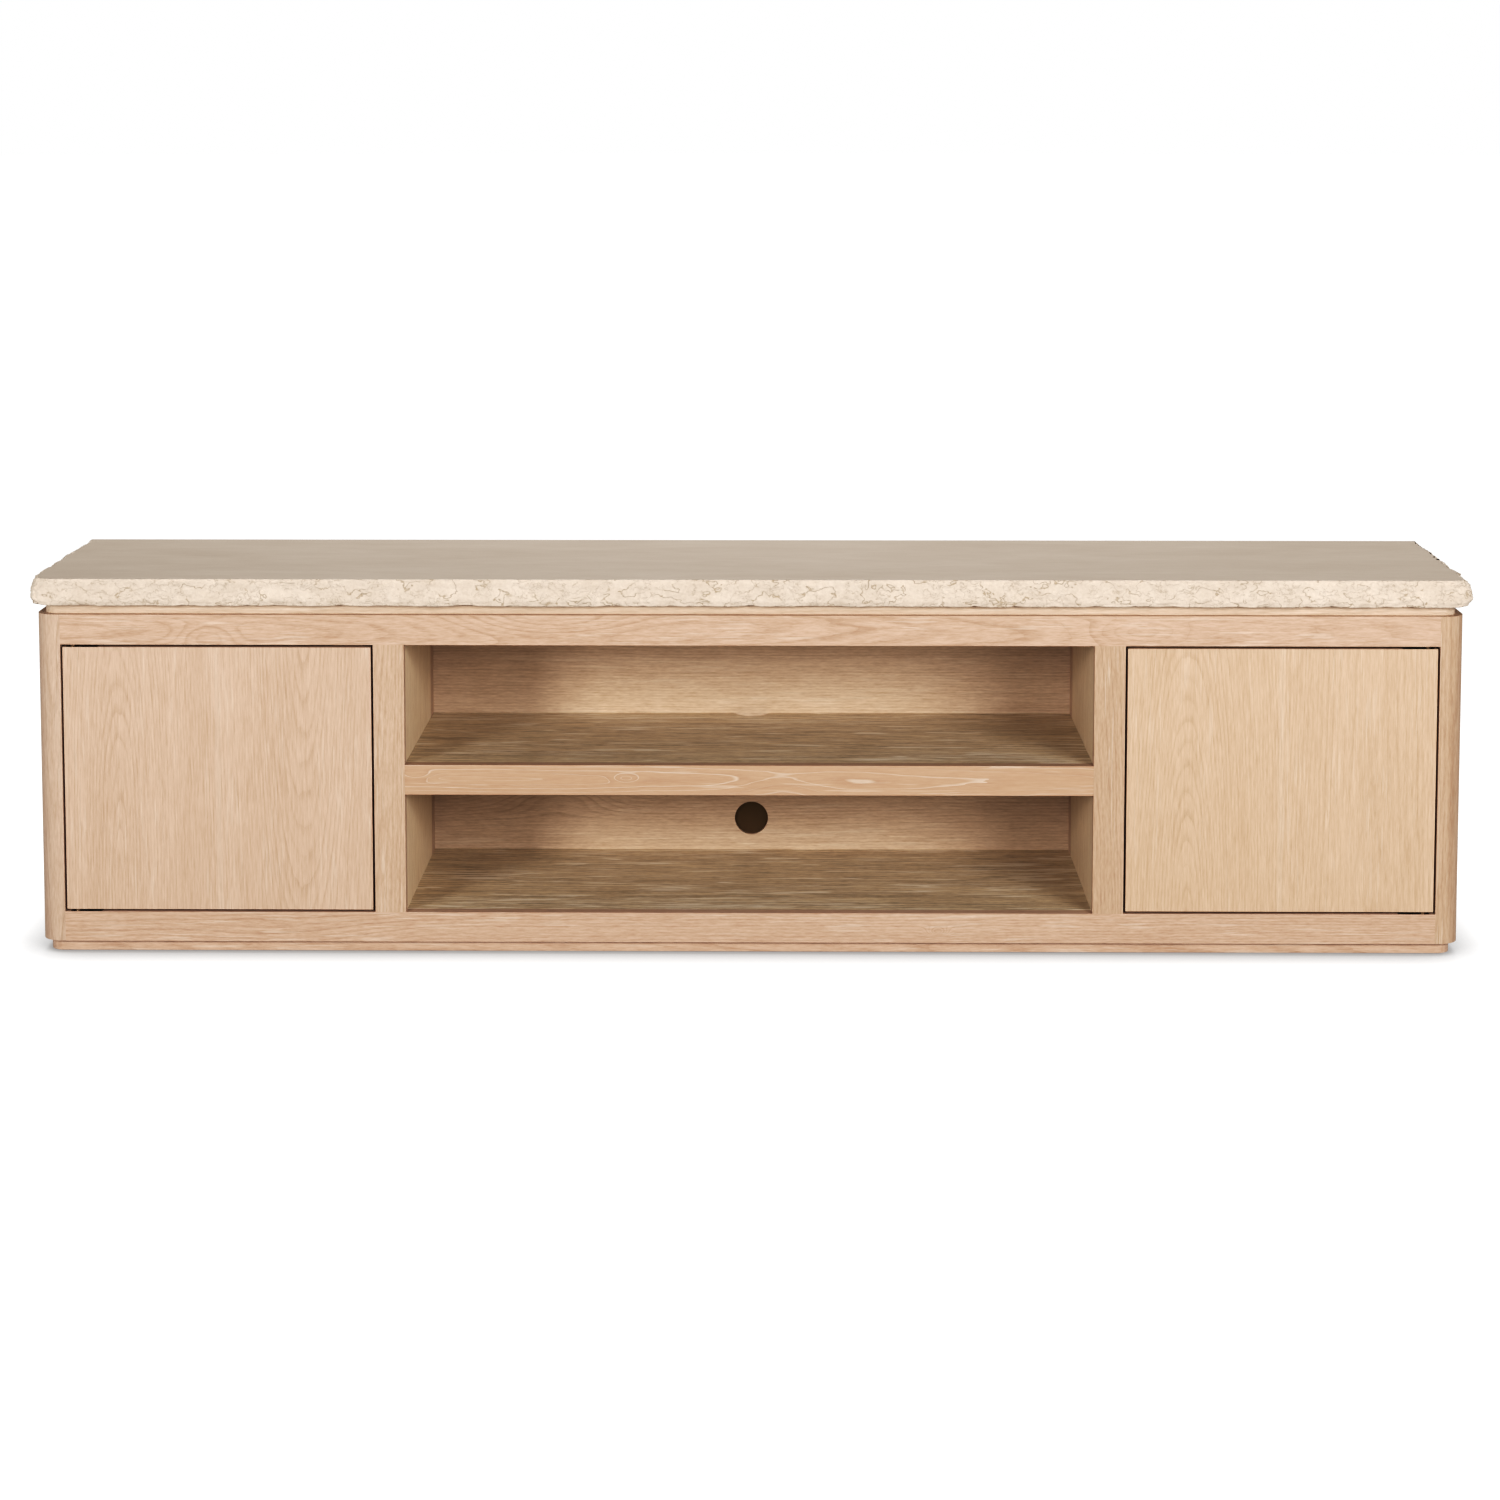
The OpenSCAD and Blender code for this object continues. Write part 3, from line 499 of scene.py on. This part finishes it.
def fittings():
    steel = zinc("zinc_plated_steel", (0.70, 0.71, 0.72), (0.52, 0.52, 0.50))
    # Painted shade: the hinge plates are coloured a dull brown instead of zinc, so that the door gaps they
    # sit in read as shaded wood and their glint is dulled.
    bronzed = zinc("bronzed_steel", (0.300, 0.215, 0.140), (0.200, 0.140, 0.090))
    for node, slot in SLOTS.items():
        if slot == "zinc_steel":
            clad(node, bronzed if "hinge" in node else steel, 0.2 * MM)
    white = moulded("latch_plastic", (0.74, 0.73, 0.69), (0.62, 0.61, 0.57), 0.35)
    black = moulded("plunger_plastic", (0.050, 0.050, 0.052), (0.022, 0.022, 0.024), 0.30)
    for side in ("left", "right"):
        clad("latch_housing_" + side, white, 0.5 * MM)
        clad("latch_plunger_" + side, black, 0.8 * MM)
    # Painted shade: the flap is a dark brown sheet across the cable hole, standing in for the shade inside
    # the hole.
    hole_shade_rubber = moulded("hole_shade_flap_rubber", (0.135, 0.078, 0.030), (0.085, 0.048, 0.018), 0.6)
    clad("cable_hole_flap", hole_shade_rubber, 0.5 * MM)
    nylon = moulded("glide_nylon", (0.06, 0.055, 0.05), (0.03, 0.028, 0.025), 0.4)
    clad("floor_glides", nylon, 0.5 * MM)
    silicone = moulded("bedding_silicone", (0.78, 0.77, 0.73), (0.66, 0.65, 0.61), 0.25)
    clad("stone_bedding_pads", silicone, None)


# ---- the stone top ----


def smooth(t):
    t = np.clip(t, 0, 1)
    return t * t * (3 - 2 * t)


def shoulder(t):
    """From 0 to 1 as a quarter circle turns."""
    return 1 - np.sqrt(1 - np.clip(t, 0, 1)**2)


def scoops(s, h, rng, count, reach, depth, stretch):
    """Overlapping shallow hollows, as a chisel leaves them. The ridges stand where two hollows meet."""
    hollow = np.zeros_like(s)
    for _ in range(count):
        middle_s, middle_h = rng.uniform(s.min(), s.max()), rng.uniform(h.min() - 0.01, h.max() + 0.01)
        radius = rng.uniform(*reach)
        deep = rng.uniform(*depth)
        near = np.abs(s[:, 0] - middle_s) < radius * stretch
        if near.any():
            lean = rng.uniform(-0.5, 0.5)
            ds = (s[near] - middle_s) / stretch
            dh = h[near] - middle_h + lean * ds
            hollow[near] = np.maximum(hollow[near], deep * (1 - (ds**2 + dh**2) / radius**2))
    return hollow


def outline(inset_x, inset_y, radius, low, high, steps):
    """Points and inward directions from the rear left corner round the front to the rear right corner."""
    points, inward = [], []
    left, right = low.x + inset_x, high.x - inset_x
    front, back = low.y + inset_y, high.y
    on_side, on_corner, on_front = steps
    for i in range(on_side):
        points.append((left, back + (front + radius - back) * i / on_side))
        inward.append((1.0, 0.0))
    for i in range(on_corner):
        a = math.pi / 2 * i / on_corner
        points.append((left + radius * (1 - math.cos(a)), front + radius * (1 - math.sin(a))))
        inward.append((math.cos(a), math.sin(a)))
    for i in range(on_front + 1):
        points.append((left + radius + (right - left - 2 * radius) * i / on_front, front))
        inward.append((0.0, 1.0))
    for i in range(on_corner - 1, -1, -1):
        a = math.pi / 2 * i / on_corner
        points.append((right - radius * (1 - math.cos(a)), front + radius * (1 - math.sin(a))))
        inward.append((-math.cos(a), math.sin(a)))
    for i in range(on_side - 1, -1, -1):
        points.append((right, back + (front + radius - back) * i / on_side))
        inward.append((-1.0, 0.0))
    return np.array(points), np.array(inward)


# Points round the slab: on each end, each rounded corner and the front, then rows from top to bottom.
SLAB_STEPS = (170, 12, 860)
SLAB_ROWS = 22
# Corner radii of the path that distances are measured along, and of the slab itself.
PATH_CORNER, FACE_CORNER = 0.020, 0.018
UNDER_INSET = 0.012
FRONT_BELLY, END_LOW_BELLY, END_TOP_BELLY = 0.0058, 0.006, 0.0085
CHIP_SPACING, CHIP_OVERRUN, CHIP_HEIGHT = 0.021, 0.03, 0.0026
# Each size of hollow: how many, its radius, its depth and how much longer than high it is.
BROAD_SCOOPS = (95, (0.020, 0.045), (0.0020, 0.0048), 1.7)
SMALL_SCOOPS = (420, (0.008, 0.018), (0.0018, 0.0042), 1.5)
FINE_SCOOPS = (2600, (0.0035, 0.008), (0.0008, 0.0022), 1.3)
FINE_SHARE = 0.45
GRIT = 0.0004


def stone_slab():
    """The slab: a honed top with a nearly straight arris, rock-faced front and ends, and a sawn rear."""
    low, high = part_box("stone_top")
    thick = high.z - low.z
    level = np.linspace(1.0, 0.0, SLAB_ROWS)
    flat, _ = outline(0, 0, PATH_CORNER, low, high, SLAB_STEPS)
    along = np.concatenate([[0], np.cumsum(np.hypot(*np.diff(flat, axis=0).T))])
    is_end = smooth((np.abs(flat[:, 0]) - (high.x - 0.030)) / 0.015)
    s, h = np.meshgrid(along, level * thick, indexing="ij")
    rng = np.random.default_rng(11)
    relief = scoops(s, h, rng, *BROAD_SCOOPS)
    relief = np.maximum(relief, scoops(s, h, rng, *SMALL_SCOOPS))
    relief += FINE_SHARE * scoops(s, h, rng, *FINE_SCOOPS)
    relief = np.maximum(relief + GRIT * rng.standard_normal(s.shape), 0)
    strength = np.interp(level, [0, 0.25, 0.8, 0.93, 1.0], [0.85, 1.0, 1.0, 0.75, 0.30])
    end_strength = np.interp(level, [0, 0.25, 0.8, 1.0], [1.3, 1.5, 1.75, 1.95])
    relief *= strength[None, :] * (1 - is_end[:, None]) + end_strength[None, :] * is_end[:, None]
    reach = along[-1] + CHIP_OVERRUN
    chip_places = np.arange(0, reach, CHIP_SPACING)
    chip_sizes = rng.uniform(0, 1, int(reach / CHIP_SPACING) + 2)
    chips = np.interp(along, chip_places, chip_sizes[:len(chip_places)])
    grid = np.zeros((len(along), SLAB_ROWS, 3))
    for j, t in enumerate(level):
        belly = 0.6 * (1 - smooth(t / 0.22)) + smooth((t - 0.62) / 0.38)
        end_belly = END_LOW_BELLY * (1 - smooth(t / 0.32)) + END_TOP_BELLY * shoulder((t - 0.45) / 0.55)
        points, inward = outline(end_belly, FRONT_BELLY * belly, FACE_CORNER, low, high, SLAB_STEPS)
        grid[:, j, :2] = points + inward * relief[:, j, None]
        grid[:, j, 2] = low.z + t * thick + (1 - smooth(t / 0.25)) * CHIP_HEIGHT * chips**3
    grid[0, :, 1] = grid[-1, :, 1] = high.y
    mesh = bpy.data.meshes.new("stone_top_slab")
    bm = bmesh.new()
    verts = [[bm.verts.new(p) for p in column] for column in grid]
    _, inward = outline(0, 0, FACE_CORNER, low, high, SLAB_STEPS)
    under = [bm.verts.new((p[0] + d[0] * UNDER_INSET, p[1] + d[1] * UNDER_INSET, low.z))
             for p, d in zip(grid[:, -1], inward)]
    for vert in (under[0], under[-1]):
        vert.co.y = high.y
    for a, b, ua, ub in zip(verts, verts[1:], under, under[1:]):
        for j in range(SLAB_ROWS - 1):
            bm.faces.new((a[j], a[j + 1], b[j + 1], b[j])).smooth = True
        bm.faces.new((a[-1], ua, ub, b[-1])).smooth = True
    top = bm.faces.new([column[0] for column in verts])
    bottom = bm.faces.new(under[::-1])
    rear = bm.faces.new([*verts[-1], under[-1], under[0], *verts[0][::-1]])
    for face in (top, bottom, rear):
        face.material_index = 1
    # Known fault: some triangles of the top and the rear come out flipped, mostly along the right end.
    bmesh.ops.triangulate(bm, faces=[top, bottom, rear])
    bmesh.ops.recalc_face_normals(bm, faces=bm.faces)
    bm.to_mesh(mesh)
    bm.free()
    mesh.materials.append(rock_stone("rock_faced_stone"))
    mesh.materials.append(honed_stone("honed_stone"))
    slab = bpy.data.objects.new("stone_top_slab", mesh)
    bpy.context.scene.collection.objects.link(slab)
    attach(slab, "carcass")
    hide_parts("stone_top")


# ---- studio ----

AMBIENT = 0.095
FLOOR_GLOW = 0.13


def seen_by_camera(tree, value, otherwise):
    """A value that holds for what the camera sees, and another for the light that reaches the object."""
    path = tree.nodes.new("ShaderNodeLightPath")
    switch = tree.nodes.new("ShaderNodeMix")
    tree.links.new(path.outputs["Is Camera Ray"], switch.inputs[0])
    for socket, level in ((switch.inputs[2], otherwise), (switch.inputs[3], value)):
        if isinstance(level, bpy.types.NodeSocket):
            tree.links.new(level, socket)
        else:
            socket.default_value = level
    return switch.outputs[0]


def studio_floor():
    """A wide white floor that glows to the camera, with a painted contact shadow where the object meets it:
    ambient occlusion darkens the glow there.
    """
    s = Shader("studio_floor")
    cloud = s.noise(s.place, scale=1.5, detail=2)
    color = s.mix(cloud, (0.30, 0.30, 0.30), (0.28, 0.28, 0.28))
    # Painted contact shadow: ambient occlusion near the object darkens the floor's glow to the camera.
    near = s.add("ShaderNodeAmbientOcclusion", samples=16)
    near.inputs["Distance"].default_value = 0.09
    glow_with_painted_contact_shadow = s.remap(near.outputs["AO"], 0.35, 1.0, 0.30, 1.0, smooth=False)
    s.feed(s.surface.inputs["Emission Strength"], seen_by_camera(s.tree, glow_with_painted_contact_shadow, FLOOR_GLOW))
    s.finish(color, 0.8, Specular_IOR_Level=0.1, Emission_Color=(1, 1, 1, 1))
    mesh = bpy.data.meshes.new("studio_floor")
    bm = bmesh.new()
    bmesh.ops.create_circle(bm, cap_ends=True, segments=64, radius=60.0)
    bm.to_mesh(mesh)
    bm.free()
    mesh.materials.append(s.material)
    floor = bpy.data.objects.new("studio_floor", mesh)
    bpy.context.scene.collection.objects.link(floor)


def studio_world():
    """White to the camera, and a dim even light to the object."""
    world = bpy.data.worlds.new("studio")
    bpy.context.scene.world = world
    world.use_nodes = True
    background = world.node_tree.nodes["Background"]
    background.inputs["Color"].default_value = (1, 1, 1, 1)
    world.node_tree.links.new(seen_by_camera(world.node_tree, 1.0, AMBIENT), background.inputs["Strength"])


# Each softbox is (name, place, aim, size, power, tint).
SOFTBOXES = (
    ("left_softbox", (-2.45, -3.95, 1.42), (0.0, -0.2, 0.35), (0.88, 1.00), 105, (1.0, 0.985, 0.97)),
    ("right_softbox", (2.25, -3.95, 1.62), (0.0, -0.2, 0.35), (1.80, 1.35), 143, (1.0, 0.99, 0.98)),
    ("top_softbox", (0.0, 1.60, 3.0), (0.0, 0.0, 0.6), (3.6, 1.6), 85, (1.0, 1.0, 1.0)),
    ("left_fill", (-4.60, -0.90, 1.10), (-1.1, 0.0, 0.30), (1.6, 1.6), 24, (0.94, 0.98, 1.0)),
    ("right_fill", (4.60, -0.30, 1.10), (1.1, 0.0, 0.30), (1.6, 1.6), 24, (0.97, 0.99, 1.0)),
)


def softboxes():
    for name, place, aim, size, power, tint in SOFTBOXES:
        light = bpy.data.lights.new(name, "AREA")
        light.shape = "RECTANGLE"
        light.size, light.size_y = size
        light.energy = power
        light.color = tint
        lamp = bpy.data.objects.new(name, light)
        lamp.location = place
        lamp.rotation_euler = (Vector(aim) - Vector(place)).to_track_quat("-Z", "Y").to_euler()
        bpy.context.scene.collection.objects.link(lamp)


# The tone curve: straight in the lights, with a deeper toe in the shadows.
TONE_CURVE = ((0.0, 0.0), (0.10, 0.038), (0.20, 0.115), (0.30, 0.228),
              (0.46, 0.435), (0.62, 0.62), (1.0, 1.0))


def grade():
    view = bpy.context.scene.view_settings
    view.view_transform = "Standard"
    view.use_curve_mapping = True
    curve = view.curve_mapping.curves[3]
    for place, level in TONE_CURVE[1:-1]:
        curve.points.new(place, level)
    view.curve_mapping.extend = "EXTRAPOLATED"
    view.curve_mapping.update()


CAMERA_PLACE = (0.0517, -5.3134, 1.3857)
CAMERA_DOWN, CAMERA_LEFT = 5.367, 0.561
CAMERA_LENS, CAMERA_SHIFT = 78.10, -0.24


def camera():
    """Part tilt and part shift, so upright lines stay nearly upright."""
    data = bpy.data.cameras.new("camera")
    data.lens = CAMERA_LENS
    data.sensor_width = 36.0
    data.shift_y = CAMERA_SHIFT
    data.clip_end = 200.0
    eye = bpy.data.objects.new("camera", data)
    eye.location = CAMERA_PLACE
    eye.rotation_euler = (math.radians(90 - CAMERA_DOWN), 0.0, math.radians(CAMERA_LEFT))
    bpy.context.scene.collection.objects.link(eye)
    bpy.context.scene.camera = eye


oak_boards()
inner_boards()
fittings()
stone_slab()
studio_floor()
studio_world()
softboxes()
camera()
grade()
